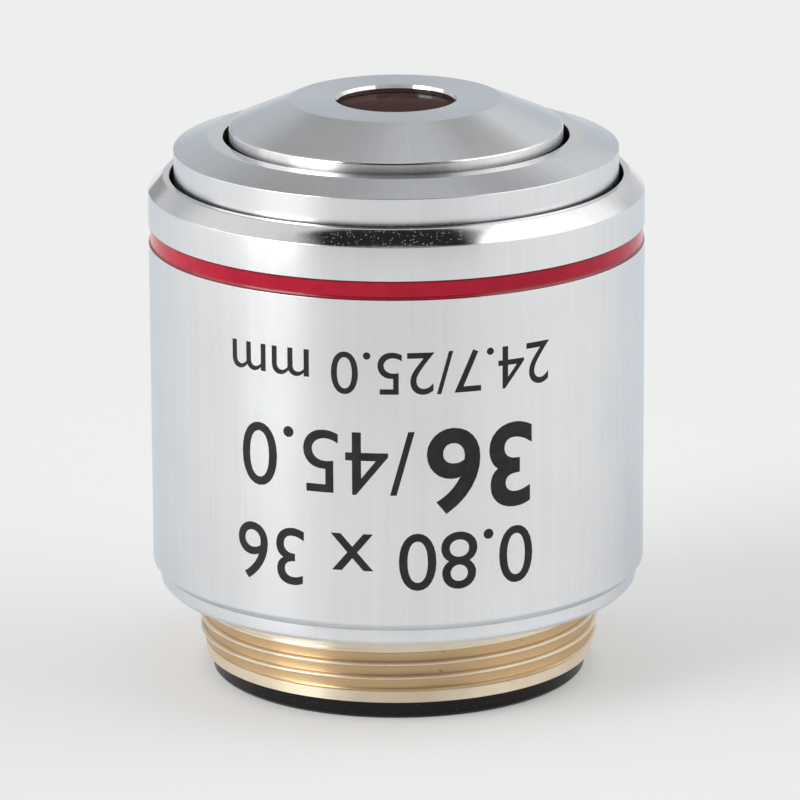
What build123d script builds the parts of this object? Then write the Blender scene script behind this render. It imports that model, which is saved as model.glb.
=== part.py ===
from build123d import *
import os
from math import sqrt

# Low-power microscope objective with a long working distance, standing on its rear ring.
# Millimetres. The optical axis is +Z, the rear face lies at z = 0 and the front lens is at the top.
# Turned pieces are half sections revolved about +Z, and screw threads are drawn as plain cylinders.

# Fits
slip = 0.02  # radial clearance of a bored seat or a screwed pair
lens_play = 0.02  # axial clearance between a curved lens face and the edge that holds it
cement = 0.01  # cement layer inside a doublet

# Lenses: radii of curvature, thicknesses and air gaps along the axis, rear to front.
# Together they give a focal length of 36 and focus 20.3 in front of the nose.
rear_lens_d = 12.0
rear_outer_curve = 14.65
rear_inner_curve = 20.07
rear_front_curve = 69.11
rear_crown_edge = 0.80  # thickness of the rear crown at its rim
rear_flint_t = 1.40
rear_air = 7.10
middle_lens_step = 1.75  # middle lens smaller than the rear lens, on the radius
middle_rim = 0.75  # flat rim round the hollow faces of the middle lens
middle_rear_curve = 12.46
middle_front_curve = 8.45
middle_t = 1.20
front_air = 5.50
front_lens_d = 8.0
front_rear_curve = 12.62
front_inner_curve = 12.98
front_outer_curve = 26.45
front_flint_t = 1.20
front_crown_edge = 1.46  # thickness of the front crown at its rim
lens_recess = 0.25  # front lens below the nose's rim
rear_lens_lift = 2.90  # mount shoulder to the rear lens

# Objective thread, shoulder and rear ring
thread_d = 20.27  # major diameter of the 0.8 inch, 36 per inch objective thread
thread_h = 3.68  # rear end of the brass to the shoulder
pilot_step = 0.28  # plain pilot below the thread, smaller than the crests, on the radius
pilot_h = 0.55
thread_wall = 1.55  # crest of the thread to the rear bore
shoulder_h = 0.82  # plated flange under the sleeve
shoulder_bevel = 0.22  # on the lower edge of that flange
stop_ring_h = 0.95
stop_ring_step = 0.35  # rear ring smaller than the pilot, on the radius
stop_ring_bevel = 0.15
stop_spigot_h = 2.0
stop_wall = 2.55  # ring's spigot to the rear light aperture
rear_flare = 1.2  # the aperture widens by this towards the rear face, on the radius
spanner_hole_d = 1.0
spanner_hole_depth = 0.6

# Mount tube and sleeve
mount_wall = 1.38
collar_step = 0.3  # screwed collar that the sleeve grips, proud of the mount tube
collar_h = 3.8
collar_runout = 0.15
sleeve_gap = 0.1  # sleeve bore to the barrel's head
sleeve_wall = 1.2
sleeve_setback = 3.8  # sleeve's top below the nose's rim
sleeve_foot_bevel = 0.4
sleeve_top_bevel = 0.75
sleeve_bore_bevel = 0.15
band_setback = 2.45  # colour band below the sleeve's top
band_h = 0.95
band_depth = 0.25
band_dip = 0.04  # enamel left below the sleeve's surface

# Barrel and nose
barrel_wall = 1.78
barrel_skirt = 0.25  # barrel runs on past the last lock ring
barrel_end_gap = 0.4
shim_t = 0.3
head_overhang = 0.6  # head wider than the mount tube, on the radius
head_h = 7.15
head_setback = 1.85  # flat land of the head below the nose's rim
head_cone_w = 1.7
head_cone_h = 0.6
head_land_w = 0.85
recess_depth = 3.55  # depth of the pocket that takes the nose
recess_bevel = 0.12
nose_gap = 0.13
nose_cone_h = 1.35
nose_face_w = 2.25  # flat face round the front hole
nose_ledge = 1.38  # nose wider than its screwed spigot, on the radius
front_hole_d = 5.91
front_hole_bevel_w = 0.115
front_hole_bevel_h = 0.20

# Cells, rings, spacer and stop
spigot_step = 1.15  # nose spigot wider than the middle cell, on the radius
spigot_runout = 0.3
spacer_h = 1.0
spacer_wall = 0.9
middle_floor = 0.65  # cell under the middle lens
middle_ring_h = 0.7
middle_ring_step = 0.3  # ring wider than the lens pocket, on the radius
stop_t = 0.3
stop_aperture_d = 6.1
web_bore_d = 9.6  # light path through the barrel's web
front_ring_lap = 0.7  # ring reaches this far over the lens
front_ring_h = 0.85
front_ring_step = 0.45
rear_cell_wall = 1.38
rear_cell_roof = 1.2
rear_seat_lap = 0.8
rear_ring_lap = 0.7
rear_ring_h = 0.75
rear_ring_step = 0.4
ring_relief = 0.1  # screwed bore runs on past its ring
cell_ring_h = 0.9
cell_ring_w = 1.0
slot_w = 0.8  # spanner slots across the lock rings
slot_depth = 0.3


def sag(curve, height):
    return curve - sqrt(curve**2 - height**2)


# Lens faces along the axis, numbered from the rear
rear_lens_r = rear_lens_d / 2
middle_lens_r = rear_lens_r - middle_lens_step
middle_clear_r = middle_lens_r - middle_rim
front_lens_r = front_lens_d / 2
rear_crown_t = rear_crown_edge + sag(rear_outer_curve, rear_lens_r) + sag(rear_inner_curve, rear_lens_r)
front_crown_t = front_crown_edge + sag(front_inner_curve, front_lens_r) + sag(front_outer_curve, front_lens_r)
brass_z = stop_ring_h
shoulder_z = brass_z + thread_h
face_1 = shoulder_z + rear_lens_lift
face_2 = face_1 + rear_crown_t
face_3 = face_2 + cement
face_4 = face_3 + rear_flint_t
face_5 = face_4 + rear_air
face_6 = face_5 + middle_t
face_7 = face_6 + front_air
face_8 = face_7 + front_flint_t
face_9 = face_8 + cement
face_10 = face_9 + front_crown_t
front_z = face_10 + lens_recess

# Radii from the rear lens outwards, then inwards again to the nose
thread_r = thread_d / 2
pilot_r = thread_r - pilot_step
rear_bore_r = thread_r - thread_wall
rear_pocket_r = rear_lens_r + slip
rear_cell_r = rear_pocket_r + rear_cell_wall
barrel_bore_r = rear_cell_r + slip
barrel_r = barrel_bore_r + barrel_wall
mount_bore_r = barrel_r + slip
mount_tube_r = mount_bore_r + mount_wall
collar_r = mount_tube_r + collar_step
head_r = mount_tube_r + head_overhang
sleeve_bore_r = head_r + sleeve_gap
sleeve_r = sleeve_bore_r + sleeve_wall
shoulder_r = sleeve_r - sleeve_foot_bevel
head_cone_r = head_r - head_cone_w
recess_r = head_cone_r - head_land_w - recess_bevel
nose_r = recess_r - nose_gap
spigot_r = nose_r - nose_ledge
middle_cell_r = spigot_r - spigot_step
front_hole_r = front_hole_d / 2

# Heights of the seats
sleeve_z = shoulder_z + shoulder_h
sleeve_top = front_z - sleeve_setback
collar_top = sleeve_z + collar_h
land_z = front_z - head_setback
head_z = land_z - head_h
mount_top = head_z - shim_t
nose_seat = land_z - recess_depth
rear_ring_r_in = rear_lens_r - rear_ring_lap
rear_ring_top = face_1 + sag(rear_outer_curve, rear_ring_r_in) - lens_play
rear_cell_z = rear_ring_top - rear_ring_h
cell_ring_z = rear_cell_z - cell_ring_h
barrel_z = cell_ring_z - barrel_skirt
rear_seat_r = rear_lens_r - rear_seat_lap
rear_seat_z = face_4 - sag(rear_front_curve, rear_seat_r) + lens_play
web_z = rear_seat_z + rear_cell_roof
middle_rear_flat = face_5 - sag(middle_rear_curve, middle_clear_r)
middle_front_flat = face_6 + sag(middle_front_curve, middle_clear_r)
middle_cell_z = middle_rear_flat - middle_floor
stop_z = middle_cell_z - stop_t
middle_cell_top = middle_front_flat + middle_ring_h
spigot_z = middle_cell_top + spacer_h


def turned(*points):
    """Half section in the XZ plane through corner points (radius, height)."""
    with BuildSketch(Plane.XZ) as section:
        with BuildLine():
            Polyline(*points, close=True)
        make_face()
    return section.sketch


def washer(inner_r, outer_r, bottom, height):
    top = bottom + height
    return turned((inner_r, bottom), (outer_r, bottom), (outer_r, top), (inner_r, top))


def lens(edge_r, rear_face, rear_rim, front_face, front_rim):
    """Half section of a lens: each face is an arc from its pole on the axis to its rim."""
    with BuildSketch(Plane.XZ) as section:
        with BuildLine():
            TangentArc((0, rear_face), (edge_r, rear_rim), tangent=(1, 0))
            Line((edge_r, rear_rim), (edge_r, front_rim))
            TangentArc((0, front_face), (edge_r, front_rim), tangent=(1, 0))
            Line((0, front_face), (0, rear_face))
        make_face()
    return section.sketch


def spanner_slots(inner_r, outer_r, face_z):
    """Pair of slots across a ring, to be cut upwards from its rear face."""
    with BuildSketch(Plane.XY.offset(face_z)) as slots:
        with PolarLocations((inner_r + outer_r) / 2, 2):
            Rectangle(2 * (outer_r - inner_r), slot_w)
    return slots.sketch


# Rear ring with the rear light aperture, screwed into the mount
stop_ring_r = pilot_r - stop_ring_step
stop_spigot_r = rear_bore_r - slip
stop_spigot_top = brass_z + stop_spigot_h
rear_light_r = stop_spigot_r - stop_wall
rear_flare_r = rear_light_r + rear_flare
with BuildPart() as rear_stop:
    revolve(
        turned(
            (rear_flare_r, 0),
            (stop_ring_r - stop_ring_bevel, 0),
            (stop_ring_r, stop_ring_bevel),
            (stop_ring_r, brass_z),
            (stop_spigot_r, brass_z),
            (stop_spigot_r, stop_spigot_top),
            (rear_light_r, stop_spigot_top),
            (rear_light_r, brass_z),
        ),
        axis=Axis.Z,
    )
    with Locations(rear_stop.faces().sort_by(Axis.Z)[0]):
        with PolarLocations((rear_flare_r + stop_ring_r - stop_ring_bevel) / 2, 2):
            Hole(spanner_hole_d / 2, depth=spanner_hole_depth)

# Mount: thread, shoulder flange, the collar that the sleeve screws on, and the tube for the barrel
pilot_top = brass_z + pilot_h
with BuildPart() as mount_body:
    revolve(
        turned(
            (rear_bore_r, brass_z),
            (pilot_r, brass_z),
            (pilot_r, pilot_top),
            (thread_r, pilot_top + pilot_step),
            (thread_r, shoulder_z),
            (shoulder_r - shoulder_bevel, shoulder_z),
            (shoulder_r, shoulder_z + shoulder_bevel),
            (shoulder_r, sleeve_z),
            (collar_r, sleeve_z),
            (collar_r, collar_top),
            (mount_tube_r, collar_top),
            (mount_tube_r, mount_top),
            (mount_bore_r, mount_top),
            (mount_bore_r, barrel_z - barrel_end_gap),
            (rear_bore_r, barrel_z - barrel_end_gap),
        ),
        axis=Axis.Z,
    )

# Sleeve, bevelled at both ends, with the groove for the colour band
band_top = sleeve_top - band_setback
band_z = band_top - band_h
groove_r = sleeve_r - band_depth
sleeve_grip_r = collar_r + slip
sleeve_grip_top = collar_top + collar_runout
with BuildPart() as outer_sleeve:
    revolve(
        turned(
            (sleeve_grip_r, sleeve_z),
            (shoulder_r, sleeve_z),
            (sleeve_r, sleeve_z + sleeve_foot_bevel),
            (sleeve_r, band_z),
            (groove_r, band_z),
            (groove_r, band_top),
            (sleeve_r, band_top),
            (sleeve_r, sleeve_top - sleeve_top_bevel),
            (sleeve_r - sleeve_top_bevel, sleeve_top),
            (sleeve_bore_r + sleeve_bore_bevel, sleeve_top),
            (sleeve_bore_r, sleeve_top - sleeve_bore_bevel),
            (sleeve_bore_r, sleeve_grip_top),
            (sleeve_grip_r, sleeve_grip_top),
        ),
        axis=Axis.Z,
    )

with BuildPart() as colour_band:
    revolve(washer(groove_r, sleeve_r - band_dip, band_z, band_h), axis=Axis.Z)

# Barrel: screws into the mount, holds the cells, and shows its stepped head above the sleeve
middle_bore_r = middle_cell_r + slip
spigot_bore_r = spigot_r + slip
spigot_bore_z = spigot_z - spigot_runout
web_bore_r = web_bore_d / 2
with BuildPart() as lens_barrel:
    revolve(
        turned(
            (barrel_bore_r, barrel_z),
            (barrel_r, barrel_z),
            (barrel_r, head_z),
            (head_r, head_z),
            (head_r, land_z - head_cone_h),
            (head_cone_r, land_z),
            (recess_r + recess_bevel, land_z),
            (recess_r, land_z - recess_bevel),
            (recess_r, nose_seat),
            (spigot_bore_r, nose_seat),
            (spigot_bore_r, spigot_bore_z),
            (middle_bore_r, spigot_bore_z),
            (middle_bore_r, stop_z),
            (web_bore_r, stop_z),
            (web_bore_r, web_z),
            (barrel_bore_r, web_z),
        ),
        axis=Axis.Z,
    )

with BuildPart() as parfocal_shim:
    revolve(washer(mount_bore_r, mount_tube_r, mount_top, shim_t), axis=Axis.Z)

# Nose: the front cone, which is also the cell of the front doublet
front_pocket_r = front_lens_r + slip
front_ring_r = front_pocket_r + front_ring_step
front_ring_r_in = front_lens_r - front_ring_lap
front_ring_bore_r = front_ring_r + slip
front_ring_top = face_7 + sag(front_rear_curve, front_ring_r_in) - lens_play
front_edge_r = front_hole_r + front_hole_bevel_w
lip_z = face_10 - sag(front_outer_curve, front_hole_r) + lens_play
with BuildPart() as nose_cap:
    revolve(
        turned(
            (front_ring_bore_r, spigot_z),
            (spigot_r, spigot_z),
            (spigot_r, nose_seat),
            (nose_r, nose_seat),
            (nose_r, front_z - nose_cone_h),
            (front_edge_r + nose_face_w, front_z),
            (front_edge_r, front_z),
            (front_hole_r, front_z - front_hole_bevel_h),
            (front_hole_r, lip_z),
            (front_pocket_r, lip_z),
            (front_pocket_r, front_ring_top + ring_relief),
            (front_ring_bore_r, front_ring_top + ring_relief),
        ),
        axis=Axis.Z,
    )

# Front doublet and its ring
with BuildPart() as front_crown_lens:
    revolve(
        lens(
            front_lens_r,
            face_9,
            face_9 + sag(front_inner_curve, front_lens_r),
            face_10,
            face_10 - sag(front_outer_curve, front_lens_r),
        ),
        axis=Axis.Z,
    )

with BuildPart() as front_flint_lens:
    revolve(
        lens(
            front_lens_r,
            face_7,
            face_7 + sag(front_rear_curve, front_lens_r),
            face_8,
            face_8 + sag(front_inner_curve, front_lens_r),
        ),
        axis=Axis.Z,
    )

front_ring_z = front_ring_top - front_ring_h
with BuildPart() as front_lock_ring:
    revolve(washer(front_ring_r_in, front_ring_r, front_ring_z, front_ring_h), axis=Axis.Z)
    extrude(spanner_slots(front_ring_r_in, front_ring_r, front_ring_z), amount=slot_depth, mode=Mode.SUBTRACT)

# Middle lens in its cell, on the aperture stop and under the spacer that the nose clamps
middle_pocket_r = middle_lens_r + slip
middle_ring_r = middle_pocket_r + middle_ring_step
middle_ring_bore_r = middle_ring_r + slip
with BuildPart() as middle_cell:
    revolve(
        turned(
            (middle_clear_r, middle_cell_z),
            (middle_cell_r, middle_cell_z),
            (middle_cell_r, middle_cell_top),
            (middle_ring_bore_r, middle_cell_top),
            (middle_ring_bore_r, middle_front_flat - ring_relief),
            (middle_pocket_r, middle_front_flat - ring_relief),
            (middle_pocket_r, middle_rear_flat),
            (middle_clear_r, middle_rear_flat),
        ),
        axis=Axis.Z,
    )

with BuildPart() as middle_lens:
    with BuildSketch(Plane.XZ):
        with BuildLine():
            TangentArc((0, face_5), (middle_clear_r, middle_rear_flat), tangent=(1, 0))
            Polyline(
                (middle_clear_r, middle_rear_flat),
                (middle_lens_r, middle_rear_flat),
                (middle_lens_r, middle_front_flat),
                (middle_clear_r, middle_front_flat),
            )
            TangentArc((0, face_6), (middle_clear_r, middle_front_flat), tangent=(1, 0))
            Line((0, face_6), (0, face_5))
        make_face()
    revolve(axis=Axis.Z)

with BuildPart() as middle_lock_ring:
    revolve(washer(middle_clear_r, middle_ring_r, middle_front_flat, middle_ring_h), axis=Axis.Z)
    extrude(
        spanner_slots(middle_clear_r, middle_ring_r, middle_cell_top - slot_depth),
        amount=slot_depth,
        mode=Mode.SUBTRACT,
    )

with BuildPart() as aperture_stop:
    revolve(washer(stop_aperture_d / 2, middle_cell_r, stop_z, stop_t), axis=Axis.Z)

with BuildPart() as air_spacer:
    revolve(washer(middle_cell_r - spacer_wall, middle_cell_r, middle_cell_top, spacer_h), axis=Axis.Z)

# Rear doublet in its cell, with the ring that holds the lenses and the ring that holds the cell
rear_ring_r = rear_pocket_r + rear_ring_step
rear_ring_bore_r = rear_ring_r + slip
with BuildPart() as rear_cell:
    revolve(
        turned(
            (rear_ring_bore_r, rear_cell_z),
            (rear_cell_r, rear_cell_z),
            (rear_cell_r, web_z),
            (rear_seat_r, web_z),
            (rear_seat_r, rear_seat_z),
            (rear_pocket_r, rear_seat_z),
            (rear_pocket_r, rear_ring_top + ring_relief),
            (rear_ring_bore_r, rear_ring_top + ring_relief),
        ),
        axis=Axis.Z,
    )

with BuildPart() as rear_crown_lens:
    revolve(
        lens(
            rear_lens_r,
            face_1,
            face_1 + sag(rear_outer_curve, rear_lens_r),
            face_2,
            face_2 - sag(rear_inner_curve, rear_lens_r),
        ),
        axis=Axis.Z,
    )

with BuildPart() as rear_flint_lens:
    revolve(
        lens(
            rear_lens_r,
            face_3,
            face_3 - sag(rear_inner_curve, rear_lens_r),
            face_4,
            face_4 - sag(rear_front_curve, rear_lens_r),
        ),
        axis=Axis.Z,
    )

with BuildPart() as rear_lens_ring:
    revolve(washer(rear_ring_r_in, rear_ring_r, rear_cell_z, rear_ring_h), axis=Axis.Z)
    extrude(spanner_slots(rear_ring_r_in, rear_ring_r, rear_cell_z), amount=slot_depth, mode=Mode.SUBTRACT)

cell_ring_r_in = rear_cell_r - cell_ring_w
with BuildPart() as rear_cell_ring:
    revolve(washer(cell_ring_r_in, rear_cell_r, cell_ring_z, cell_ring_h), axis=Axis.Z)
    extrude(spanner_slots(cell_ring_r_in, rear_cell_r, cell_ring_z), amount=slot_depth, mode=Mode.SUBTRACT)

pieces = {
    "rear_stop": rear_stop,
    "mount_body": mount_body,
    "outer_sleeve": outer_sleeve,
    "colour_band": colour_band,
    "lens_barrel": lens_barrel,
    "parfocal_shim": parfocal_shim,
    "nose_cap": nose_cap,
    "front_crown_lens": front_crown_lens,
    "front_flint_lens": front_flint_lens,
    "front_lock_ring": front_lock_ring,
    "air_spacer": air_spacer,
    "middle_cell": middle_cell,
    "middle_lens": middle_lens,
    "middle_lock_ring": middle_lock_ring,
    "aperture_stop": aperture_stop,
    "rear_cell": rear_cell,
    "rear_crown_lens": rear_crown_lens,
    "rear_flint_lens": rear_flint_lens,
    "rear_lens_ring": rear_lens_ring,
    "rear_cell_ring": rear_cell_ring,
}
os.makedirs("parts", exist_ok=True)
for name, piece in pieces.items():
    piece.part.label = name
    export_step(piece.part, f"parts/{name}.step")
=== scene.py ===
from math import atan2, ceil, cos, degrees, hypot, pi, radians, sin, sqrt, tan

import bmesh
import bpy
from mathutils import Matrix, Vector


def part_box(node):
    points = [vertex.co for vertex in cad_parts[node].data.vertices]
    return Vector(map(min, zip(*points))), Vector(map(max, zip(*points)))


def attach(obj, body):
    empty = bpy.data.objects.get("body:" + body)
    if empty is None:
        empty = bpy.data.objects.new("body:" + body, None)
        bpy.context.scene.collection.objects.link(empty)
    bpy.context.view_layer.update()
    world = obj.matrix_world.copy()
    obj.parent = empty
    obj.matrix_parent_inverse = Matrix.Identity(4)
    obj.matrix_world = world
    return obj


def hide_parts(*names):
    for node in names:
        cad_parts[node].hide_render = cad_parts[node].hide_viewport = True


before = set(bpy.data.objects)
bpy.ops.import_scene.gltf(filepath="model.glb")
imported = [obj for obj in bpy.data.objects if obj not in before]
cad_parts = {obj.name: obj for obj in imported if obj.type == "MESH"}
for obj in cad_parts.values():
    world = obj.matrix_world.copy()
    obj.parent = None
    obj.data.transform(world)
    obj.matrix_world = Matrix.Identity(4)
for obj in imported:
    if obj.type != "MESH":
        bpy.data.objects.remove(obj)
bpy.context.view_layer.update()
mm = 0.001
print("frame loaded:", len(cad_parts), "nodes")

# camera in the photo's place: the front of the part looks along -Y
cameraView = {
    "elevation": radians(15.70),
    "distance": 335.9 * mm,
    "aimHeight": 13.87 * mm,
    "lens": 297.6,
    "sensor": 36,
    "shiftX": 0.0031,
    "roll": radians(-0.30),
    "near": 10 * mm,
    "far": 20,
}


def placeCamera():
    view = cameraView
    data = bpy.data.cameras.new("camera")
    data.lens = view["lens"]
    data.sensor_width = view["sensor"]
    data.shift_x = view["shiftX"]
    data.clip_start = view["near"]
    data.clip_end = view["far"]
    camera = bpy.data.objects.new("camera", data)
    bpy.context.scene.collection.objects.link(camera)
    back = view["distance"] * cos(view["elevation"])
    height = view["aimHeight"] + view["distance"] * sin(view["elevation"])
    tilt = Matrix.Rotation(pi / 2 - view["elevation"], 4, "X") @ Matrix.Rotation(view["roll"], 4, "Z")
    camera.matrix_world = Matrix.Translation((0, -back, height)) @ tilt
    bpy.context.scene.camera = camera
    bpy.context.scene.view_settings.view_transform = "Standard"


placeCamera()
print("camera placed")


# node helpers
def addNode(tree, kind, **values):
    node = tree.nodes.new(kind)
    for label, value in values.items():
        if label in node.inputs:
            node.inputs[label].default_value = value
        else:
            setattr(node, label, value)
    return node


def plug(tree, socket, value):  # a link for a socket, a plain setting for a number
    if isinstance(value, bpy.types.NodeSocket):
        tree.links.new(value, socket)
    else:
        socket.default_value = value


def mathNode(tree, operation, *values):
    node = addNode(tree, "ShaderNodeMath", operation=operation)
    for socket, value in zip(node.inputs, values):
        plug(tree, socket, value)
    return node.outputs[0]


def vectorNode(tree, operation, *values):
    node = addNode(tree, "ShaderNodeVectorMath", operation=operation)
    for socket, value in zip(node.inputs, values):
        plug(tree, socket, value)
    return node.outputs["Value" if operation in ("LENGTH", "DOT_PRODUCT") else "Vector"]


def spread(tree, value, low, high, toLow=0.0, toHigh=1.0):
    node = addNode(tree, "ShaderNodeMapRange", interpolation_type="SMOOTHSTEP")
    labels = ("Value", "From Min", "From Max", "To Min", "To Max")
    for label, setting in zip(labels, (value, low, high, toLow, toHigh)):
        plug(tree, node.inputs[label], setting)
    return node.outputs["Result"]


def mixColours(tree, factor, first, second, blend="MIX"):
    node = addNode(tree, "ShaderNodeMix", data_type="RGBA", blend_type=blend)
    for socket, value in zip((node.inputs[0], node.inputs[6], node.inputs[7]), (factor, first, second)):
        plug(tree, socket, value)
    return node.outputs[2]


def grey(level):
    return (level, level, level, 1)


def objectPlace(tree):
    return addNode(tree, "ShaderNodeTexCoord").outputs["Object"]


def heightOf(tree, place):
    parts = addNode(tree, "ShaderNodeSeparateXYZ")
    plug(tree, parts.inputs[0], place)
    return parts.outputs["Z"]


def flatten(tree, place):  # the way out from the optical axis
    return vectorNode(tree, "MULTIPLY", place, (1, 1, 0))


def newGroup(name, inputs, outputs):
    group = bpy.data.node_groups.new(name, "ShaderNodeTree")
    for label, value in inputs.items():
        group.interface.new_socket(label, in_out="INPUT", socket_type="NodeSocketFloat").default_value = value
    for label in outputs:
        group.interface.new_socket(label, in_out="OUTPUT", socket_type="NodeSocketFloat")
    return group, group.nodes.new("NodeGroupInput").outputs, group.nodes.new("NodeGroupOutput").inputs


def useGroup(tree, group, *values):
    node = addNode(tree, "ShaderNodeGroup", node_tree=group)
    for socket, value in zip(node.inputs, values):
        socket.default_value = value
    return node.outputs


# shared effects, all on Object coordinates
effects = {
    "faceShare": 1.3,  # rings on a face against a wall; 1 would leave a bevel of 45 degrees plain
    "cloudScale": 220.0,
    "lineShare": 0.65,
    "streakStretch": (25, 25, 60),
    "streakRange": (0.3, 0.7),
    "hazeRange": (0.35, 0.7),
    "speckRange": (0.66, 0.74),
    "dustRange": (0.12, 0.21),  # share of the spacing at which a speck fades out
    "maskRange": (0.25, 0.75),
}


def makeTurnedLines():  # rings left by the lathe, following the outline of the piece
    group, given, out = newGroup("turnedLines", {"Pitch in mm": 0.05}, ("Height", "Mask"))
    place = objectPlace(group)
    radius = vectorNode(group, "LENGTH", flatten(group, place))
    outward = mathNode(group, "MULTIPLY", radius, effects["faceShare"])
    along = mathNode(group, "SUBTRACT", outward, heightOf(group, place))
    lines = addNode(group, "ShaderNodeTexNoise", noise_dimensions="1D", Scale=1.0, Detail=3.0, Roughness=0.7)
    pitch = mathNode(group, "MULTIPLY", given[0], mm)
    plug(group, lines.inputs["W"], mathNode(group, "DIVIDE", along, pitch))
    cloud = addNode(group, "ShaderNodeTexNoise", Scale=effects["cloudScale"], Detail=3.0)
    plug(group, cloud.inputs["Vector"], place)
    plug(group, out["Height"], lines.outputs[0])
    share = effects["lineShare"]
    fine = mathNode(group, "MULTIPLY", lines.outputs[0], share)
    broad = mathNode(group, "MULTIPLY", cloud.outputs[0], 1 - share)
    plug(group, out["Mask"], mathNode(group, "ADD", fine, broad))
    return group


def makeStreaks():  # faint streaks across the turned grain: upright on a wall, radial on a face
    group, given, out = newGroup("streaks", {"Count": 40.0}, ("Streak",))
    place = objectPlace(group)
    heading = vectorNode(group, "NORMALIZE", flatten(group, place))
    around = addNode(group, "ShaderNodeVectorMath", operation="SCALE")
    plug(group, around.inputs[0], heading)
    plug(group, around.inputs["Scale"], given[0])
    lengthwise = vectorNode(group, "MULTIPLY", place, effects["streakStretch"])
    noise = addNode(group, "ShaderNodeTexNoise", Scale=1.0, Detail=4.0, Roughness=0.6)
    plug(group, noise.inputs["Vector"], vectorNode(group, "ADD", around.outputs[0], lengthwise))
    plug(group, out["Streak"], spread(group, noise.outputs[0], *effects["streakRange"]))
    return group


def makeHandling():  # soft cloudy haze and a few pin specks
    group, given, out = newGroup("handling", {"Cloud in mm": 4.0, "Speck in mm": 0.2}, ("Haze", "Specks"))
    place = objectPlace(group)
    for size, label, limits in ((given[0], "Haze", "hazeRange"), (given[1], "Specks", "speckRange")):
        noise = addNode(group, "ShaderNodeTexNoise", Detail=3.0, Roughness=0.55)
        plug(group, noise.inputs["Vector"], place)
        plug(group, noise.inputs["Scale"], mathNode(group, "DIVIDE", 1 / mm, size))
        plug(group, out[label], spread(group, noise.outputs[0], *effects[limits]))
    return group


def makeDust():  # pale specks, a few to the millimetre
    group, given, out = newGroup("dust", {"Spacing in mm": 0.16, "Share": 0.7}, ("Dust",))
    cells = addNode(group, "ShaderNodeTexVoronoi", feature="F1")
    plug(group, cells.inputs["Vector"], objectPlace(group))
    plug(group, cells.inputs["Scale"], mathNode(group, "DIVIDE", 1 / mm, given[0]))
    chance = addNode(group, "ShaderNodeSeparateColor")
    plug(group, chance.inputs[0], cells.outputs["Color"])
    kept = mathNode(group, "LESS_THAN", chance.outputs[0], given[1])
    spot = spread(group, cells.outputs["Distance"], *effects["dustRange"], 1.0, 0.0)
    plug(group, out["Dust"], mathNode(group, "MULTIPLY", kept, spot))
    return group


turnedLines = makeTurnedLines()
streaks = makeStreaks()
handling = makeHandling()
dust = makeDust()


def newFinish(name, **values):
    material = bpy.data.materials.new(name)
    material.use_nodes = True
    tree = material.node_tree
    shader = tree.nodes["Principled BSDF"]
    for label, value in values.items():
        shader.inputs[label.replace("_", " ")].default_value = value
    return material, tree, shader


def addRelief(tree, shader, height, depth):
    bump = addNode(tree, "ShaderNodeBump", Distance=depth)
    plug(tree, bump.inputs["Height"], height)
    plug(tree, shader.inputs["Normal"], bump.outputs[0])


def addTurning(tree, shader):  # the gloss is stretched across the rings
    tangent = addNode(tree, "ShaderNodeTangent", direction_type="RADIAL", axis="Z")
    plug(tree, shader.inputs["Tangent"], tangent.outputs[0])


def addRoughness(tree, shader, mask, limits):
    plug(tree, shader.inputs["Roughness"], spread(tree, mask, *effects["maskRange"], *limits))


def darker(tree, colour, share):
    return mixColours(tree, 1.0, colour, grey(share), "MULTIPLY")


chromes = {
    "satinChrome": {
        "bright": (0.84, 0.845, 0.855, 1), "dull": (0.81, 0.82, 0.835, 1), "edge": (0.78, 0.84, 0.89, 1),
        "rough": (0.22, 0.27), "metal": 1.0, "stretch": 0.77, "grain": 0.0004, "pitch": 0.06, "streak": 0.04,
        "speck": 0.0008, "speckSize": 0.06, "dust": 0.0,
    },
    "turnedChrome": {
        "bright": (0.82, 0.825, 0.83, 1), "dull": (0.79, 0.795, 0.805, 1), "edge": (0.85, 0.90, 0.95, 1),
        "rough": (0.20, 0.28), "metal": 1.0, "stretch": 0.7, "grain": 0.0006, "pitch": 0.05, "streak": 0.04,
        "speck": 0.0, "speckSize": 0.1, "dust": 0.0,
    },
    "brushedChrome": {
        "bright": (0.88, 0.88, 0.885, 1), "dull": (0.84, 0.84, 0.845, 1), "edge": (0.70, 0.77, 0.85, 1),
        "rough": (0.27, 0.36), "metal": 0.90, "stretch": 0.92, "grain": 0.001, "pitch": 0.03, "streak": 0.08,
        "speck": 0.0, "speckSize": 0.1, "dust": 0.0,
    },
    "polishedChrome": {
        "bright": (0.80, 0.80, 0.80, 1), "dull": (0.77, 0.77, 0.775, 1), "edge": (1, 1, 1, 1),
        "rough": (0.05, 0.10), "metal": 1.0, "stretch": 0.3, "grain": 0.0002, "pitch": 0.05, "streak": 0.03,
        "speck": 0.0, "speckSize": 0.1, "dust": 0.0,
    },
}
chromes["dustyChrome"] = {**chromes["polishedChrome"], "dust": 1.0}  # the sleeve's bevel, where dust settles
plating = {
    "acrossGrain": 0.25, "streakCount": 42.0, "cloud": 5.0, "dustSpacing": 0.12, "dustShare": 0.8,
    "dustGrey": 0.8,
}


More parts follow.
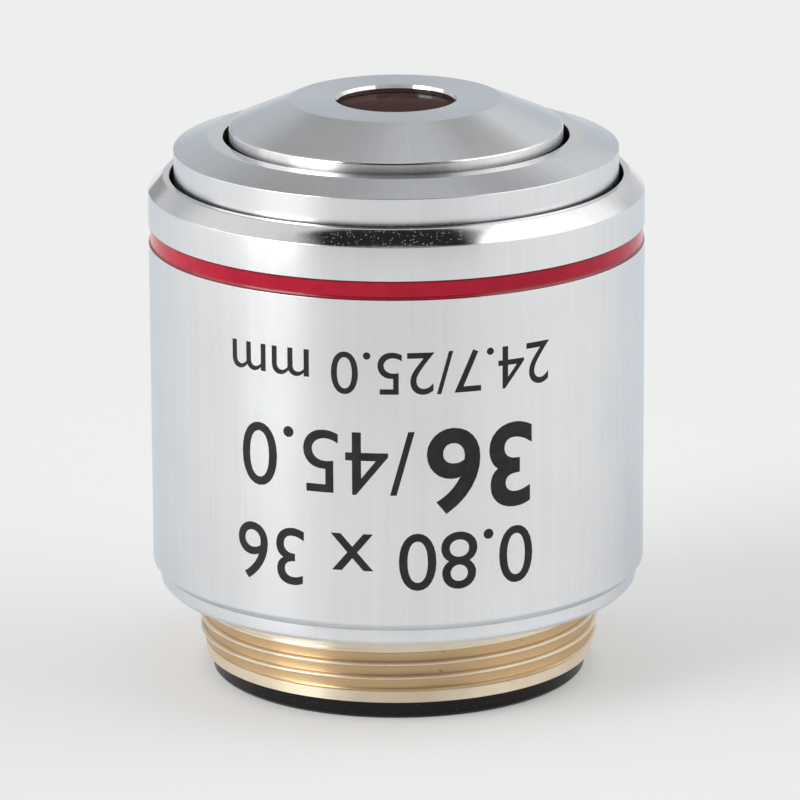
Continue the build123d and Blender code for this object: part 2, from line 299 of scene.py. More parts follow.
def makeChrome(name):
    c, p = chromes[name], plating
    material, tree, shader = newFinish(
        name, Metallic=c["metal"], Anisotropic=c["stretch"], Anisotropic_Rotation=p["acrossGrain"],
        Specular_Tint=c["edge"])
    lines = useGroup(tree, turnedLines, c["pitch"])
    streak = useGroup(tree, streaks, p["streakCount"])["Streak"]
    wear = useGroup(tree, handling, p["cloud"], c["speckSize"])
    plate = mixColours(tree, wear["Haze"], c["bright"], c["dull"])
    plate = mixColours(tree, streak, plate, darker(tree, plate, 1 - c["streak"]))
    if c["dust"]:  # pale dust, seen where the plate mirrors something dark
        specks = useGroup(tree, dust, p["dustSpacing"], p["dustShare"])["Dust"]
        specks = mathNode(tree, "MULTIPLY", specks, c["dust"])
        plate = mixColours(tree, specks, plate, grey(p["dustGrey"]))
        plug(tree, shader.inputs["Metallic"], mathNode(tree, "SUBTRACT", 1.0, specks))
    plug(tree, shader.inputs["Base Color"], plate)
    addRoughness(tree, shader, lines["Mask"], c["rough"])
    rings = mathNode(tree, "MULTIPLY", lines["Height"], c["grain"])
    pits = mathNode(tree, "MULTIPLY", wear["Specks"], c["speck"])
    addRelief(tree, shader, mathNode(tree, "ADD", rings, pits), mm)
    addTurning(tree, shader)
    return material


brass = {
    # "groove" is painted shade in the thread's grooves; "stain" is real staining there
    "bright": (0.90, 0.79, 0.62, 1), "dull": (0.83, 0.71, 0.53, 1), "groove": (0.65, 0.45, 0.25, 1),
    "stain": (0.38, 0.25, 0.14, 1), "rough": (0.26, 0.40), "stretch": 0.85, "pitch": 0.07, "cloud": 2.5,
    "speckSize": 0.35, "grain": 0.001 * mm,
    "crest": 10.07 * mm, "root": 9.94 * mm, "threadZ": 1.52 * mm,  # where the painted groove shade starts
}


def makeBrass():  # bright on the crests; browner in the grooves as painted shade, with stain specks there
    b = brass
    material, tree, shader = newFinish(
        "bareBrass", Metallic=1.0, Anisotropic=b["stretch"], Anisotropic_Rotation=plating["acrossGrain"])
    lines = useGroup(tree, turnedLines, b["pitch"])
    wear = useGroup(tree, handling, b["cloud"], b["speckSize"])
    place = objectPlace(tree)
    radius = vectorNode(tree, "LENGTH", flatten(tree, place))
    inGroove = mathNode(tree, "GREATER_THAN", heightOf(tree, place), b["threadZ"])  # the pilot gets no painted groove shade
    depth = mathNode(tree, "MULTIPLY", spread(tree, radius, b["root"], b["crest"], 1.0, 0.0), inGroove)
    bright = mixColours(tree, wear["Haze"], b["bright"], b["dull"])
    # painted shade: the groove colour darkens the thread towards its root
    grooveShaded = mixColours(tree, depth, bright, b["groove"])
    stained = mixColours(tree, mathNode(tree, "MULTIPLY", depth, wear["Specks"]), grooveShaded, b["stain"])
    plug(tree, shader.inputs["Base Color"], stained)
    addRoughness(tree, shader, lines["Mask"], b["rough"])
    addRelief(tree, shader, lines["Height"], b["grain"])
    addTurning(tree, shader)
    return material


blacks = {
    "blackAnodised": {
        "colour": (0.006, 0.0052, 0.0048, 1), "greyed": (0.010, 0.009, 0.0085, 1), "rough": (0.22, 0.37),
        "gloss": 0.25, "pitch": 0.08, "grain": 0.001 * mm,
    },
    "blackenedBrass": {
        "colour": (0.012, 0.011, 0.010, 1), "greyed": (0.022, 0.019, 0.016, 1), "rough": (0.55, 0.70),
        "gloss": 0.3, "pitch": 0.06, "grain": 0.003 * mm,
    },
}
blackWear = {"cloud": 3.0, "speckSize": 0.12, "dustSpacing": 0.22, "dustShare": 0.3, "dustGrey": 0.06}


def makeBlack(name):
    b, w = blacks[name], blackWear
    material, tree, shader = newFinish(name, Specular_IOR_Level=b["gloss"])
    lines = useGroup(tree, turnedLines, b["pitch"])
    wear = useGroup(tree, handling, w["cloud"], w["speckSize"])
    black = mixColours(tree, wear["Haze"], b["colour"], b["greyed"])
    specks = useGroup(tree, dust, w["dustSpacing"], w["dustShare"])["Dust"]
    plug(tree, shader.inputs["Base Color"], mixColours(tree, specks, black, grey(w["dustGrey"])))
    addRoughness(tree, shader, lines["Mask"], b["rough"])
    addRelief(tree, shader, lines["Height"], b["grain"])
    return material


enamels = {
    "redEnamel": {"bright": (0.50, 0.007, 0.034, 1), "dull": (0.43, 0.005, 0.028, 1), "gloss": 0.2},
    # the lip's darker red is painted shade; its higher gloss is the smooth meniscus
    "shadedRedLip": {"bright": (0.36, 0.002, 0.014, 1), "dull": (0.32, 0.002, 0.012, 1), "gloss": 0.6},
}
enamelWearAndShade = {
    # rim is the colour of the painted shade along the band's edges
    "rough": 0.12, "cloud": 0.9, "speckSize": 0.1, "ripple": 0.006 * mm, "rim": (0.06, 0.002, 0.004, 1),
}
enamelShadeRims = ((22.40, 0.05), (23.35, 0.13))  # height and width in mm of the dark rims, painted shade along the band's edges


def makeEnamel(name):
    enamel, w = enamels[name], enamelWearAndShade
    material, tree, shader = newFinish(name, Roughness=w["rough"], Specular_IOR_Level=enamel["gloss"])
    wear = useGroup(tree, handling, w["cloud"], w["speckSize"])
    red = mixColours(tree, wear["Haze"], enamel["bright"], enamel["dull"])
    height = heightOf(tree, objectPlace(tree))
    # painted shade: a dark line along each edge of the band
    for edge, width in enamelShadeRims:
        away = mathNode(tree, "ABSOLUTE", mathNode(tree, "SUBTRACT", height, edge * mm))
        red = mixColours(tree, spread(tree, away, 0.0, width * mm, 1.0, 0.0), red, w["rim"])
    plug(tree, shader.inputs["Base Color"], red)
    addRelief(tree, shader, wear["Haze"], w["ripple"])
    return material


glasses = {  # a coated face is given a low index, since it reflects little
    # coated glass: its dark brown-magenta tint is painted reflection of the coating, darkened as painted
    # shade
    "coatedGlass": {"tint": (0.30, 0.165, 0.15, 1), "ior": 1.02, "clear": 0.8},
    "plainGlass": {"tint": (0.93, 0.94, 0.92, 1), "ior": 1.30, "clear": 1.0},
}
glassWear = {"cloud": 3.0, "speckSize": 0.05, "hazed": 0.96}


def makeGlass(name):
    g, w = glasses[name], glassWear
    material, tree, shader = newFinish(name, Roughness=0.0, IOR=g["ior"], Transmission_Weight=g["clear"])
    wear = useGroup(tree, handling, w["cloud"], w["speckSize"])
    tint = mixColours(tree, wear["Haze"], g["tint"], darker(tree, g["tint"], w["hazed"]))
    plug(tree, shader.inputs["Base Color"], tint)
    return material


inkLook = {
    "colour": (0.013, 0.012, 0.011, 1), "greyed": (0.022, 0.021, 0.020, 1), "rough": 0.45, "gloss": 0.3,
    "cloud": 0.8, "speckSize": 0.08, "dotSpacing": 0.09, "dotGrey": 0.07,
}


def makeInk():  # covered with fine dots, as an etched mark is
    k = inkLook
    material, tree, shader = newFinish("markInk", Roughness=k["rough"], Specular_IOR_Level=k["gloss"])
    wear = useGroup(tree, handling, k["cloud"], k["speckSize"])
    ink = mixColours(tree, wear["Haze"], k["colour"], k["greyed"])
    dots = useGroup(tree, dust, k["dotSpacing"], 1.0)["Dust"]
    plug(tree, shader.inputs["Base Color"], mixColours(tree, dots, ink, grey(k["dotGrey"])))
    return material


satinChrome = makeChrome("satinChrome")
turnedChrome = makeChrome("turnedChrome")
brushedChrome = makeChrome("brushedChrome")
polishedChrome = makeChrome("polishedChrome")
dustyChrome = makeChrome("dustyChrome")
bareBrass = makeBrass()
blackAnodised = makeBlack("blackAnodised")
blackenedBrass = makeBlack("blackenedBrass")
redEnamel = makeEnamel("redEnamel")
shadedRedLip = makeEnamel("shadedRedLip")
coatedGlass = makeGlass("coatedGlass")
plainGlass = makeGlass("plainGlass")
markInk = makeInk()
print("finishes ready")


# building helpers
build = {
    "arcs": 4,  # segments in a rounded corner
    "merge": 0.0002 * mm,  # points this near are joined
    "letterMerge": 0.0005 * mm,
    "threadMerge": 0.002 * mm,
    "cut": 0.0001 * mm,
    "level": 0.0005 * mm,
    "skin": 0.01 * mm,  # how near a face lies to the surface that is painted
}


def roundCorners(bm, verts, offset, arcs):
    bmesh.ops.bevel(bm, geom=verts, offset=offset, affect="VERTICES", segments=arcs, profile=0.5, material=-1)


def spinRound(bm, steps, **settings):
    geom = bm.verts[:] + bm.edges[:]
    bmesh.ops.spin(bm, geom=geom, axis=(0, 0, 1), cent=(0, 0, 0), angle=2 * pi, steps=steps, **settings)


def cutPlane(bm, point, across, **clear):
    geom = bm.verts[:] + bm.edges[:] + bm.faces[:]
    bmesh.ops.bisect_plane(bm, geom=geom, dist=build["cut"], plane_co=point, plane_no=across, **clear)


def fillRims(bm, rims):
    bmesh.ops.triangle_fill(bm, use_beauty=True, use_dissolve=False, edges=rims)


def turnOutline(bm, outline, steps, closed=True):  # corners (radius, height, rounding), spun about the axis
    corners = [bm.verts.new((corner[0], 0, corner[1])) for corner in outline]
    ends = corners[1:] + corners[:1] if closed else corners[1:]
    for first, second in zip(corners, ends):
        bm.edges.new((first, second))
    picks = {}
    for vert, corner in zip(corners, outline):
        if len(corner) > 2:
            picks.setdefault(corner[2], []).append(vert)
    for rounding, verts in picks.items():
        roundCorners(bm, verts, rounding, build["arcs"])
    spinRound(bm, steps, use_merge=True)
    bmesh.ops.remove_doubles(bm, verts=bm.verts, dist=build["merge"])


def paint(bm, index, wanted):  # a material for the faces whose middle (radius, height) is wanted
    for face in bm.faces:
        middle = face.calc_center_median()
        if wanted(hypot(middle.x, middle.y), middle.z):
            face.material_index = index


def finishPiece(bm, name, materials, node, sharp=8.0, recalc=True):
    if recalc:
        bmesh.ops.recalc_face_normals(bm, faces=bm.faces)
    mesh = bpy.data.meshes.new(name)
    bm.to_mesh(mesh)
    bm.free()
    for material in materials:
        mesh.materials.append(material)
    mesh.shade_smooth()
    mesh.set_sharp_from_angle(angle=radians(sharp))
    piece = bpy.data.objects.new(name, mesh)
    bpy.context.scene.collection.objects.link(piece)
    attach(piece, "root")
    if node:
        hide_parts(node)
    return piece


def reach(node):  # outer radius, bottom and top of a turned node
    low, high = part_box(node)
    return high[0], low[2], high[2]


sleeveR, sleeveZ, sleeveTop = reach("outer_sleeve")
bandZ, bandTop = reach("colour_band")[1:]
mountR, brassZ, mountTop = reach("mount_body")
ringR, ringZ, ringTop = reach("rear_stop")
headR, barrelZ, headTop = reach("lens_barrel")
noseR, noseZ, noseTop = reach("nose_cap")

# sleeve: satin wall, polished bevels, groove for the colour band
sleeve = {
    "footBevel": 0.4 * mm,
    "topBevel": 0.75 * mm,
    "boreBevel": 0.02 * mm,
    "boreGap": 0.23 * mm,
    "grip": 10.92 * mm,
    "gripTop": 9.40 * mm,
    "grooveDepth": 0.25 * mm,
    "edge": 0.035 * mm,
    "topEdge": 0.06 * mm,
    "grooveEdge": 0.02 * mm,
    "plated": 0.1 * mm,  # plating runs this far down the bore; the black below it is partly painted shade in the gap
    "steps": 256,
}


def makeSleeve():
    s = sleeve
    bm = bmesh.new()
    bore = headR + s["boreGap"]
    grooveFloor = sleeveR - s["grooveDepth"]
    turnOutline(bm, [
        (s["grip"], sleeveZ),
        (sleeveR - s["footBevel"], sleeveZ, s["edge"]),
        (sleeveR, sleeveZ + s["footBevel"], s["edge"]),
        (sleeveR, bandZ, s["grooveEdge"]),
        (grooveFloor, bandZ),
        (grooveFloor, bandTop),
        (sleeveR, bandTop, s["grooveEdge"]),
        (sleeveR, sleeveTop - s["topBevel"], s["edge"]),
        (sleeveR - s["topBevel"], sleeveTop, s["topEdge"]),
        (bore + s["boreBevel"], sleeveTop),
        (bore, sleeveTop - s["boreBevel"]),
        (bore, sleeveTop - s["plated"]),
        (bore, s["gripTop"]),
        (s["grip"], s["gripTop"]),
    ], s["steps"])
    paint(bm, 1, lambda r, z: z > sleeveTop - s["topBevel"] and r < sleeveR - s["edge"] / 2)
    # painted shade, partly real blackening: the bore below the plating is black, so the gap reads dark
    paint(bm, 2, lambda r, z: r < bore + build["skin"] and z < sleeveTop - s["plated"])
    finishPiece(bm, "sleeve", [satinChrome, dustyChrome, blackenedBrass], "outer_sleeve")


band = {
    "dip": 0.01 * mm, "sink": 0.11 * mm, "lowLip": 0.10 * mm, "lowSoft": 0.09 * mm, "highLip": 0.06 * mm,
    "soft": 0.03 * mm, "steps": 256,
}


def makeBand():  # enamel wets the walls of its groove and sinks between them
    b = band
    bm = bmesh.new()
    grooveFloor = sleeveR - sleeve["grooveDepth"]
    rim = sleeveR - b["dip"]
    turnOutline(bm, [
        (grooveFloor, bandZ),
        (rim, bandZ),
        (rim - b["sink"], bandZ + b["lowLip"], b["lowSoft"]),
        (rim - b["sink"] / 3, bandTop - b["highLip"], b["soft"]),
        (rim - b["sink"] / 5, bandTop),
        (grooveFloor, bandTop),
    ], b["steps"])
    # the lip gets the darker red of painted shade
    paint(bm, 1, lambda r, z: z < bandZ + b["lowLip"] + b["lowSoft"])
    finishPiece(bm, "colourBand", [redEnamel, shadedRedLip], "colour_band", sharp=40.0)


makeSleeve()
makeBand()
print("sleeve and colour band ready")

# mount: brass thread, plated shoulder flange, collar and tube
mount = {
    "shoulderZ": 4.63 * mm,
    "shoulderBevel": 0.22 * mm,
    "collar": 10.90 * mm,
    "collarTop": 9.25 * mm,
    "tube": 10.60 * mm,
    "bore": 9.22 * mm,
    "boreGap": 0.4 * mm,
    "rearBore": 8.585 * mm,
    "edge": 0.02 * mm,
    "platedFrom": 0.05 * mm,  # plating starts this far outside the thread's crests
    "steps": 256,
}
thread = {
    "crest": 10.135 * mm,
    "pitch": 25.4 / 36 * mm,
    "depth": 0.22 * mm,
    "crestFlat": 0.11 * mm,
    "rootFlat": 0.44 * mm,
    "rounding": 0.035 * mm,
    "frontGroove": 3.36 * mm,  # middle of the top groove, at the front
    "start": -970.0,  # degrees along the groove from there
    "runIn": 70.0,
    "end": 352.0,
    "runOut": 120.0,
    "pilot": 9.855 * mm,
    "pilotTop": 1.50 * mm,
    "turns": 8,
    "turnsBelow": 5,
    "arcs": 3,
}


def cutLevel(bm, height, **clear):
    cutPlane(bm, (0, 0, height), (0, 0, 1), **clear)


def windThread(bm):  # one turn of the outline, raised by a pitch, then stacked
    t = thread
    pitch, crest, root = t["pitch"], t["crest"], t["crest"] - t["depth"]
    lowest = t["frontGroove"] - pitch / 4 - t["turnsBelow"] * pitch
    outline = [
        (crest, 0), (crest, t["crestFlat"] / 2), (root, (pitch - t["rootFlat"]) / 2),
        (root, (pitch + t["rootFlat"]) / 2), (crest, pitch - t["crestFlat"] / 2), (crest, pitch),
    ]
    corners = [bm.verts.new((radius, 0, lowest + height)) for radius, height in outline]
    for first, second in zip(corners, corners[1:]):
        bm.edges.new((first, second))
    roundCorners(bm, corners[1:-1], t["rounding"], t["arcs"])
    spinRound(bm, mount["steps"], dvec=(0, 0, pitch / mount["steps"]))
    oneTurn = bm.verts[:] + bm.edges[:] + bm.faces[:]
    for turn in range(1, t["turns"]):
        copied = bmesh.ops.duplicate(bm, geom=oneTurn)["geom"]
        verts = [item for item in copied if isinstance(item, bmesh.types.BMVert)]
        bmesh.ops.translate(bm, verts=verts, vec=(0, 0, turn * pitch))
    bmesh.ops.remove_doubles(bm, verts=bm.verts, dist=build["threadMerge"])
    cutLevel(bm, brassZ, clear_inner=True)
    cutLevel(bm, mount["shoulderZ"], clear_outer=True)


def fadeThread(bm):  # the groove starts above the plain pilot and runs out under the flange
    t = thread
    crest, pilotStep = t["crest"], t["crest"] - t["pilot"]
    cutLevel(bm, t["pilotTop"])
    cutLevel(bm, t["pilotTop"] + pilotStep)
    for vert in bm.verts:
        x, y, z = vert.co
        radius, azimuth = hypot(x, y), degrees(atan2(x, -y))
        turn = round((z - t["frontGroove"]) / t["pitch"] - azimuth / 360)
        along = azimuth + 360 * turn
        runIn = min(1, max(0, (along - t["start"]) / t["runIn"]))
        runOut = min(1, max(0, (t["end"] - along) / t["runOut"]))
        limit = t["pilot"] + min(pilotStep, max(0, z - t["pilotTop"]))
        wanted = min(limit, crest - (crest - radius) * runIn * runOut)
        vert.co.x, vert.co.y = x * wanted / radius, y * wanted / radius


def makeMount():
    m = mount
    body = bmesh.new()
    boreStep = barrelZ - m["boreGap"]
    turnOutline(body, [
        (m["rearBore"], brassZ),
        (m["rearBore"], boreStep),
        (m["bore"], boreStep),
        (m["bore"], mountTop),
        (m["tube"], mountTop),
        (m["tube"], m["collarTop"]),
        (m["collar"], m["collarTop"]),
        (m["collar"], sleeveZ),
        (mountR, sleeveZ),
        (mountR, m["shoulderZ"] + m["shoulderBevel"], m["edge"]),
        (mountR - m["shoulderBevel"], m["shoulderZ"]),
    ], m["steps"], closed=False)
    turned = bpy.data.meshes.new("mountBody")
    body.to_mesh(turned)
    body.free()
    bm = bmesh.new()
    windThread(bm)
    fadeThread(bm)
    bm.from_mesh(turned)
    bpy.data.meshes.remove(turned)
    near = build["level"]
    for level in (brassZ, m["shoulderZ"]):
        rims = [edge for edge in bm.edges if edge.is_boundary]
        fillRims(bm, [rim for rim in rims if all(abs(vert.co.z - level) < near for vert in rim.verts)])
    paint(bm, 1, lambda r, z: r > thread["crest"] + m["platedFrom"] and z < sleeveZ + build["skin"])
    finishPiece(bm, "mount", [bareBrass, satinChrome], "mount_body", sharp=14.0)


makeMount()
print("mount and thread ready")

# black rear ring with two blind spanner holes
rearRing = {
    "bevel": 0.15 * mm, "spigot": 8.565 * mm, "light": 6.015 * mm, "flare": 1.2 * mm, "edge": 0.03 * mm,
    "hole": 0.5 * mm, "holeDepth": 0.6 * mm, "holeSteps": 32, "steps": 224,
}


def makeRearRing():
    s = rearRing
    bm = bmesh.new()
    inner, outer = s["light"] + s["flare"], ringR - s["bevel"]
    turnOutline(bm, [
        (outer, ringZ),
        (ringR, ringZ + s["bevel"], s["edge"]),
        (ringR, brassZ, s["edge"]),
        (s["spigot"], brassZ),
        (s["spigot"], ringTop),
        (s["light"], ringTop),
        (s["light"], brassZ),
        (inner, ringZ),
    ], s["steps"], closed=False)
    for side in (-1, 1):
        place = Matrix.Translation((side * (inner + outer) / 2, 0, ringZ))
        rim = bmesh.ops.create_circle(bm, segments=s["holeSteps"], radius=s["hole"], matrix=place)["verts"]
        edges = list({edge for vert in rim for edge in vert.link_edges})
        raised = bmesh.ops.extrude_edge_only(bm, edges=edges)["geom"]
        top = [item for item in raised if isinstance(item, bmesh.types.BMVert)]
        bmesh.ops.translate(bm, verts=top, vec=(0, 0, s["holeDepth"]))
        raisedEdges = [item for item in raised if isinstance(item, bmesh.types.BMEdge)]
        topEdges = [edge for edge in raisedEdges if all(vert in top for vert in edge.verts)]
        bmesh.ops.contextual_create(bm, geom=topEdges)
    fillRims(bm, [edge for edge in bm.edges if edge.is_boundary])
    finishPiece(bm, "rearRing", [blackAnodised], "rear_stop")


makeRearRing()
print("rear ring ready")

# barrel, whose stepped head shows above the sleeve, and the nose
barrel = {
    "headH": 7.15 * mm,
    "coneH": 0.6 * mm,
    "coneW": 1.7 * mm,
    "landW": 0.77 * mm,
    "recessBevel": 0.02 * mm,
    "recessDepth": 3.55 * mm,
    "tube": 9.20 * mm,
    "bore": 7.42 * mm,
    "webBore": 4.80 * mm,
    "slip": 0.02 * mm,
    "spigotRunout": 0.3 * mm,
    "spigot": 7.02 * mm,
    "edge": 0.03 * mm,
    "plated": 0.1 * mm,  # plating runs this far into a gap; the black below it is partly painted shade in the gap
    "steps": 256,
}
nose = {
    "coneH": 1.35 * mm,
    "faceW": 2.25 * mm,
    "hole": 2.965 * mm,
    "holeBevelW": 0.098 * mm,
    "holeBevelH": 0.17 * mm,
    "pocket": 4.02 * mm,
    "ringBore": 4.49 * mm,
    "lipDrop": 0.146 * mm,  # lip below the pole of the front lens
    "edge": 0.08 * mm,
    "polishedEdge": 0.95,
    "faceEdge": 0.03 * mm,
    "ringGap": 0.1 * mm,
    # plating runs this far into the gap; the black below it is partly painted shade
    "plated": 0.1 * mm,
    "steps": 256,
}
recessR = headR - barrel["coneW"] - barrel["landW"] - barrel["recessBevel"]
seatZ = headTop - barrel["recessDepth"]


def makeBarrel():
    s = barrel
    bm = bmesh.new()
    headZ = headTop - s["headH"]
    middleR = reach("middle_cell")[0] + s["slip"]
    stopZ, webZ = reach("aperture_stop")[1], reach("rear_cell")[2]
    spigotBore, spigotZ = s["spigot"] + s["slip"], noseZ - s["spigotRunout"]
    turnOutline(bm, [
        (s["bore"], barrelZ),
        (s["tube"], barrelZ),
        (s["tube"], headZ),
        (headR, headZ),
        (headR, sleeveTop - s["plated"]),
        (headR, headTop - s["coneH"], s["edge"]),
        (headR - s["coneW"], headTop, s["edge"]),
        (recessR + s["recessBevel"], headTop),
        (recessR, headTop - s["recessBevel"]),
        (recessR, headTop - s["plated"]),
        (recessR, seatZ),
        (spigotBore, seatZ),
        (spigotBore, spigotZ),
        (middleR, spigotZ),
        (middleR, stopZ),
        (s["webBore"], stopZ),
        (s["webBore"], webZ),
        (s["bore"], webZ),
    ], s["steps"])
    paint(bm, 1, lambda r, z: r < headR - s["coneW"] - s["edge"] / 2 and z > headTop - s["plated"])
    paint(bm, 3, lambda r, z: r > headR - s["edge"] / 8)
    # painted shade, partly real blackening: black below the plating, so the gaps beside the head and the nose
    # read dark
    paint(bm, 2, lambda r, z: z < sleeveTop - s["plated"])
    paint(bm, 2, lambda r, z: r < recessR + build["skin"] and z < headTop - s["plated"])
    finishes = [turnedChrome, polishedChrome, blackenedBrass, satinChrome]
    finishPiece(bm, "barrel", finishes, "lens_barrel")


def makeNose():
    s = nose
    bm = bmesh.new()
    rimR = s["hole"] + s["holeBevelW"]
    lipZ = reach("front_crown_lens")[2] - s["lipDrop"]
    pocketZ = reach("front_lock_ring")[2] + s["ringGap"]
    turnOutline(bm, [
        (s["ringBore"], noseZ),
        (barrel["spigot"], noseZ),
        (barrel["spigot"], seatZ),
        (noseR, seatZ),
        (noseR, headTop - s["plated"]),
        (noseR, noseTop - s["coneH"], s["edge"]),
        (rimR + s["faceW"], noseTop, s["faceEdge"]),
        (rimR, noseTop, s["faceEdge"] / 2),
        (s["hole"], noseTop - s["holeBevelH"]),
        (s["hole"], lipZ),
        (s["pocket"], lipZ),
        (s["pocket"], pocketZ),
        (s["ringBore"], pocketZ),
    ], s["steps"])
    paint(bm, 1, lambda r, z: r < rimR - s["faceEdge"] / 4 and z > lipZ)
    paint(bm, 3, lambda r, z: r > noseR - s["edge"] / 8 and z > headTop - s["plated"])
    polishedR, polishedZ = noseR - s["polishedEdge"] * s["edge"], noseTop - s["coneH"] - s["edge"]
    paint(bm, 1, lambda r, z: r > polishedR and z > polishedZ)
    # painted shade, partly real blackening: the nose below the plating is black, so the gap round it reads
    # dark
    paint(bm, 2, lambda r, z: z < headTop - s["plated"])
    paint(bm, 2, lambda r, z: r < s["ringBore"] + build["skin"] and z < lipZ + build["skin"] / 2)
    finishes = [turnedChrome, polishedChrome, blackenedBrass, brushedChrome]
    finishPiece(bm, "nose", finishes, "nose_cap")


makeBarrel()
makeNose()
print("barrel and nose ready")

# lenses: face radii in mm, plus for a face that bulges outwards
lenses = {
    "frontCrown": {"node": "front_crown_lens", "rear": 12.98, "front": 26.45, "slot": "coated_glass"},
    "frontFlint": {"node": "front_flint_lens", "rear": 12.62, "front": -12.98, "slot": "plain_glass"},
    "middleLens": {"node": "middle_lens", "rear": -12.46, "front": -8.45, "slot": "plain_glass", "rim": 0.75},
    "rearCrown": {"node": "rear_crown_lens", "rear": 14.65, "front": 20.07, "slot": "coated_glass"},
    "rearFlint": {"node": "rear_flint_lens", "rear": -20.07, "front": 69.11, "slot": "plain_glass"},
}
lensGlass = {"coated_glass": coatedGlass, "plain_glass": plainGlass}
lensFaces = {"rings": 24, "steps": 128}


def lensOutline(radius, curve, edgeZ, upward):  # from the axis to the rim of one face
    size, side = abs(curve) * mm, (upward if curve > 0 else -upward)
    sag = size - sqrt(size ** 2 - radius ** 2)
    ring = [radius * step / lensFaces["rings"] for step in range(lensFaces["rings"] + 1)]
    pole = edgeZ if curve > 0 else edgeZ - upward * sag
    return [(r, pole - side * (size - sqrt(size ** 2 - r ** 2))) for r in ring]


def makeLens(name):
    g = lenses[name]
    edgeR, low, high = reach(g["node"])
    clear = edgeR - g.get("rim", 0) * mm
    bm = bmesh.new()
    rearFace = lensOutline(clear, g["rear"], low, -1)
    frontFace = lensOutline(clear, g["front"], high, 1)
    corners = [] if clear == edgeR else [(edgeR, rearFace[-1][1]), (edgeR, frontFace[-1][1])]
    turnOutline(bm, rearFace + corners + frontFace[::-1], lensFaces["steps"], closed=False)
    finishPiece(bm, name, [lensGlass[g["slot"]]], g["node"], sharp=20.0)


for lensName in lenses:
    makeLens(lensName)
print("lenses ready")

# marks on the sleeve: plain numbers, read with the thread upwards
markLines = {
    "topMark": {"text": "24.7/25.0 mm", "cap": 2.1 * mm, "base": 19.75 * mm, "start": 37.0, "bold": 0.0},
    "midFigure": {"text": "36", "cap": 4.0 * mm, "base": 15.7 * mm, "start": 33.0, "bold": 0.020},
    "midMark": {"text": "/45.0", "cap": 3.15 * mm, "base": 15.7 * mm, "start": 4.0, "bold": 0.0},
    "lowMark": {"text": "0.80 x 36", "cap": 2.85 * mm, "base": 10.5 * mm, "start": 32.5, "bold": 0.002},
}
markShape = {"capShare": 0.682, "inset": 0.012 * mm, "proud": 0.006 * mm, "slice": 0.25 * mm, "curves": 6}


def makeMark(name):
    line, m = markLines[name], markShape
    curve = bpy.data.curves.new(name, "FONT")
    curve.body = line["text"]
    curve.size = line["cap"] / m["capShare"]
    curve.offset = line["bold"] * curve.size  # none on a line with a 4, whose counter it fills
    curve.extrude = (m["inset"] + m["proud"]) / 2
    curve.resolution_u = m["curves"]
    text = bpy.data.objects.new(name, curve)
    bpy.context.scene.collection.objects.link(text)
    bpy.context.view_layer.update()
    flat = bpy.data.meshes.new_from_object(text.evaluated_get(bpy.context.evaluated_depsgraph_get()))
    bpy.data.objects.remove(text)
    bpy.data.curves.remove(curve)
    bm = bmesh.new()
    bm.from_mesh(flat)
    bpy.data.meshes.remove(flat)
    bmesh.ops.remove_doubles(bm, verts=bm.verts, dist=build["letterMerge"])
    bmesh.ops.recalc_face_normals(bm, faces=bm.faces)  # while flat: bent, a thin letter may turn inside out
    width = max(vert.co.x for vert in bm.verts)
    for cut in range(1, ceil(width / m["slice"])):  # narrow slices, so that the flat letters can bend
        cutPlane(bm, (cut * m["slice"], 0, 0), (1, 0, 0))
    middle = (m["proud"] - m["inset"]) / 2
    for vert in bm.verts:
        azimuth = radians(line["start"]) - vert.co.x / sleeveR
        radius = sleeveR + middle + vert.co.z
        vert.co = (radius * sin(azimuth), -radius * cos(azimuth), line["base"] - vert.co.y)
    print(name, "covers", round(degrees(width / sleeveR), 1), "degrees")
    finishPiece(bm, name, [markInk], None, sharp=30.0, recalc=False)


for markName in markLines:
    makeMark(markName)
print("marks ready")

# finishes of the pieces kept from the frame
nodeFinish = {
    "parfocal_shim": bareBrass,
    "front_lock_ring": blackenedBrass,
    "air_spacer": blackenedBrass,
    "middle_cell": blackenedBrass,
    "middle_lock_ring": blackenedBrass,
    "aperture_stop": blackAnodised,
    "rear_cell": blackenedBrass,
    "rear_lens_ring": blackenedBrass,
    "rear_cell_ring": blackenedBrass,
}
for nodeName, material in nodeFinish.items():
    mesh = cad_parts[nodeName].data
    mesh.materials.clear()
    mesh.materials.append(material)
print("frame pieces finished")

# studio: pale floor, and soft light from a surround; azimuths are counted from behind the part to the right
studio = {
    "floorSize": 3.0,
    "floorDrop": 0.01 * mm,  # keeps the floor off the ring's face
    "floorColour": (0.895, 0.895, 0.89, 1),
    "floorGlow": (1, 1, 0.995, 1),  # pale backdrop, seen by the camera and by the metal
    "glowShare": 0.21,
    "surround": (  # height on the unit sphere and level
        (0.0, 0.71), (0.26, 0.63), (0.42, 0.57), (0.57, 0.52),
        (0.71, 0.48), (0.80, 0.52), (0.88, 0.61), (1.0, 0.72),
    ),
    "surroundTint": (0.985, 1.0, 1.03),
    "leastAhead": 0.001,
}
softLights = {  # in degrees; a later one covers those before it
    "leftGlow": {"azimuth": -72, "height": 46, "inner": 0, "outer": 32, "level": 0.84},
    "lowShade": {"azimuth": -22, "height": 4, "inner": 2, "outer": 15, "level": 0.36},
    "backShade": {"azimuth": -22, "height": 49, "inner": 2, "outer": 20, "level": 0.33},
    "backGlow": {"azimuth": 24, "height": 28, "inner": 8, "outer": 18, "level": 0.74},
    "backDip": {"azimuth": 24, "height": 47, "inner": 1, "outer": 13, "level": 0.24},
    "lowFront": {"azimuth": 180, "height": 5, "inner": 34, "outer": 44, "level": 0.03},
    "topFront": {"azimuth": 180, "height": 77, "wide": 26, "tall": 9, "soft": 0.25, "level": 0.02},
    "rightGlow": {"azimuth": 75, "height": 38, "inner": 12, "outer": 41, "level": 1.2},
    "leftWing": {"azimuth": -88, "height": 20, "wide": 16, "tall": 20, "soft": 0.12, "level": 1.4},
    "left": {"azimuth": -120, "height": 25, "wide": 15, "tall": 23, "soft": 0.10, "level": 4.5},
    "right": {"azimuth": 97, "height": 37, "inner": 25, "outer": 30, "level": 1.65},
}


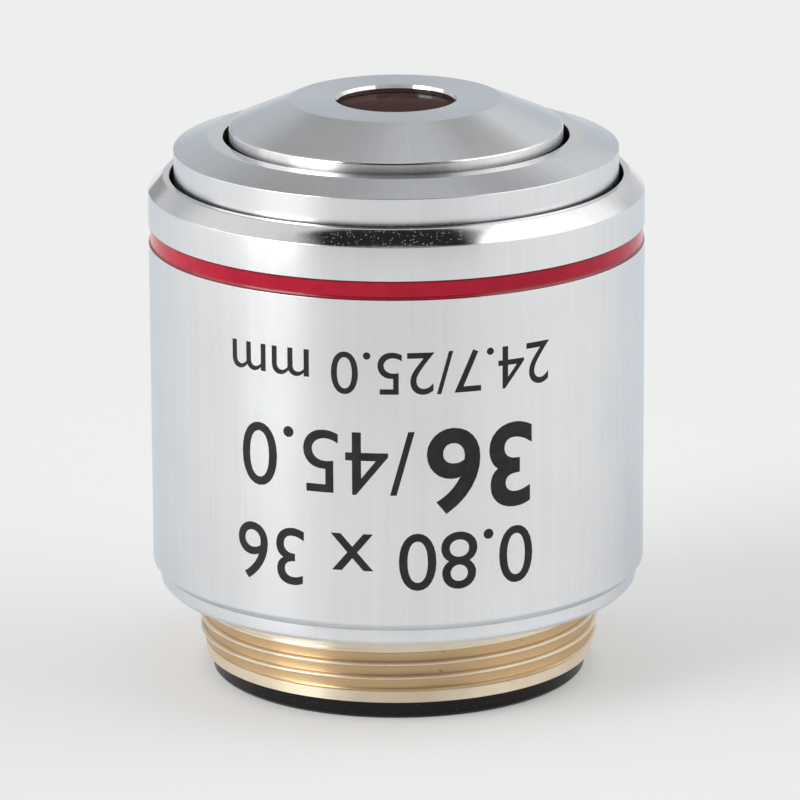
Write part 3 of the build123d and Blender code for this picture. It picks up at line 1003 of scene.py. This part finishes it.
def makeFloor():
    bm = bmesh.new()
    drop = Matrix.Translation((0, 0, -studio["floorDrop"]))
    bmesh.ops.create_grid(bm, x_segments=1, y_segments=1, size=studio["floorSize"], matrix=drop)
    mesh = bpy.data.meshes.new("floor")
    bm.to_mesh(mesh)
    bm.free()
    material, tree, shader = newFinish(
        "floorPaper", Roughness=0.8, Specular_IOR_Level=0.1, Base_Color=studio["floorColour"])
    seen = addNode(tree, "ShaderNodeLightPath").outputs
    mirrored = mathNode(tree, "MAXIMUM", seen["Is Glossy Ray"], seen["Is Transmission Ray"])
    direct = mathNode(tree, "MAXIMUM", seen["Is Camera Ray"], mirrored)
    pale = addNode(tree, "ShaderNodeMixShader")
    plug(tree, pale.inputs[0], mathNode(tree, "MULTIPLY", direct, studio["glowShare"]))
    plug(tree, pale.inputs[1], shader.outputs[0])
    plug(tree, pale.inputs[2], addNode(tree, "ShaderNodeEmission", Color=studio["floorGlow"]).outputs[0])
    mix = addNode(tree, "ShaderNodeMixShader")
    plug(tree, mix.inputs[0], addNode(tree, "ShaderNodeNewGeometry").outputs["Backfacing"])
    plug(tree, mix.inputs[1], pale.outputs[0])
    plug(tree, mix.inputs[2], addNode(tree, "ShaderNodeBsdfTransparent").outputs[0])
    plug(tree, tree.nodes["Material Output"].inputs["Surface"], mix.outputs[0])
    mesh.materials.append(material)
    floor = bpy.data.objects.new("floor", mesh)
    bpy.context.scene.collection.objects.link(floor)


def boxMask(tree, heading, centre, light):  # share of a direction that falls on a square softbox
    across = Vector((0, 0, 1)).cross(centre).normalized()
    upward = centre.cross(across)
    ahead = mathNode(tree, "MAXIMUM", vectorNode(tree, "DOT_PRODUCT", heading, centre), studio["leastAhead"])
    masks = []
    for axis, half in ((across, light["wide"]), (upward, light["tall"])):
        offset = mathNode(tree, "ABSOLUTE", vectorNode(tree, "DOT_PRODUCT", heading, axis))
        edge, soft = tan(radians(half)), light["soft"]
        slope = mathNode(tree, "DIVIDE", offset, ahead)
        masks.append(spread(tree, slope, edge * (1 - soft), edge * (1 + soft), 1.0, 0.0))
    return mathNode(tree, "MULTIPLY", *masks)


def roundMask(tree, heading, centre, light):
    near = vectorNode(tree, "DOT_PRODUCT", heading, centre)
    return spread(tree, near, cos(radians(light["outer"])), cos(radians(light["inner"])))


def makeSurround():
    world = bpy.data.worlds.new("studio")
    bpy.context.scene.world = world
    world.use_nodes = True
    tree = world.node_tree
    heading = addNode(tree, "ShaderNodeTexCoord").outputs["Generated"]
    ramp = addNode(tree, "ShaderNodeValToRGB")
    stops = ramp.color_ramp.elements
    while len(stops) < len(studio["surround"]):
        stops.new(0.5)
    for stop, (height, level) in zip(stops, studio["surround"]):
        stop.position = height
        stop.color = [level * tint for tint in studio["surroundTint"]] + [1]
    plug(tree, ramp.inputs[0], heightOf(tree, heading))
    colour = ramp.outputs[0]
    for light in softLights.values():
        azimuth, height = radians(light["azimuth"]), radians(light["height"])
        centre = Vector((cos(height) * sin(azimuth), cos(height) * cos(azimuth), sin(height)))
        mask = boxMask if "wide" in light else roundMask
        colour = mixColours(tree, mask(tree, heading, centre, light), colour, grey(light["level"]))
    plug(tree, tree.nodes["Background"].inputs["Color"], colour)


makeFloor()
makeSurround()
print("studio ready")
